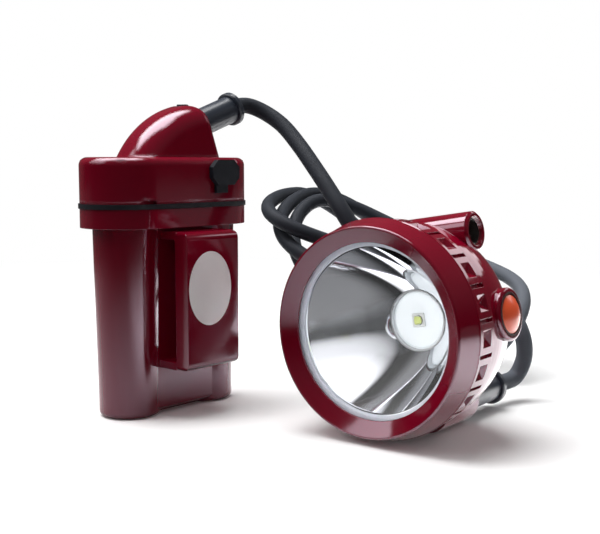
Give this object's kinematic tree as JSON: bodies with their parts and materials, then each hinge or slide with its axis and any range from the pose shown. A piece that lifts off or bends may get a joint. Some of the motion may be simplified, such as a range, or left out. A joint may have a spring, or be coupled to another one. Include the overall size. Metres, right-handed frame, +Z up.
{
  "type": "miner's cap lamp",
  "caption": "Corded miner's cap lamp: lamp head with screw-on bezel, coiled cable and a belt battery pack with hooded cable outlet.",
  "frame": {"origin": "centre of the battery pack's base, on the surface that it stands on", "axes": "+Z up, +X along the pack's width towards its cable outlet, the belt loop faces -Y and the head lies towards -Y"},
  "size_m": [0.1951, 0.169, 0.1232],
  "materials": {
    "red_plastic": "gloss",
    "black_rubber": "gloss",
    "plug_rubber": "matte",
    "cable_sheath": "satin",
    "steel": "satin",
    "cell_wrap": "gloss",
    "foam": "matte",
    "circuit_board": "satin",
    "dark_plastic": "matte",
    "clear_lens": "clear",
    "pale_silicone": "satin",
    "mirror_coat": "polished",
    "white_board": "satin",
    "led_die": "gloss",
    "heat_sink_alloy": "satin",
    "brass": "polished",
    "orange_plastic": "gloss"
  },
  "bodies": {
    "lamp": {"pack_body": "red_plastic", "belt_loop": "red_plastic", "cover_gasket": "black_rubber", "pack_cover": "red_plastic", "cover_screws": "steel", "battery_cells": "cell_wrap", "cell_links": "steel", "cell_pads": "foam", "protection_board": "circuit_board", "charge_jack": "dark_plastic", "pack_boot": "black_rubber", "pack_cable_clamp": "steel", "hood_vent": "black_rubber", "cable_pack_end": "cable_sheath", "cable_pack_run": "cable_sheath", "cable_coil": "cable_sheath", "cable_head_run": "cable_sheath", "cable_head_end": "cable_sheath", "reflector": "mirror_coat", "led_board": "white_board", "led_emitter": "led_die", "heat_sink": "heat_sink_alloy", "driver_board": "circuit_board", "head_housing": "red_plastic", "housing_seal": "black_rubber", "charge_sleeve": "brass", "charge_pin": "steel", "switch_seal": "black_rubber", "switch_body": "dark_plastic", "head_boot": "black_rubber", "head_cable_clamp": "steel", "cap_hook": "steel", "hook_screws": "steel"},
    "dust_plug": {"port_plug": "plug_rubber"},
    "push_button": {"switch_button": "orange_plastic"},
    "lens_carrier": {"lens": "clear_lens", "lens_seal": "pale_silicone"},
    "bezel": {"bezel_ring": "red_plastic"}
  },
  "joints": [
    {"name": "port_plug_pull", "type": "slide", "parent": "lamp", "child": "dust_plug", "axis": [0, -1, 0], "range_m": [0, 0.009]},
    {"name": "switch_press", "type": "slide", "parent": "lamp", "child": "push_button", "axis": [-0.0689, 0.9853, -0.1564], "range_m": [0, 0.0013], "stiffness_N_per_m": 1500, "springref_m": -0.0005},
    {"name": "lens_slide", "type": "slide", "parent": "lamp", "child": "lens_carrier", "axis": [-0.9976, -0.0698, 0], "range_m": [0, 0.0031]},
    {"name": "bezel_turn", "type": "hinge", "parent": "lens_carrier", "child": "bezel", "pos_m": [0.0039, -0.0938, 0.0382], "axis": [-0.9976, -0.0698, 0], "range_deg": [0, 540]}
  ],
  "couplings": [
    {"joint": "lens_slide", "follows": "bezel_turn", "m_per_rad": 0.00031831}
  ]
}
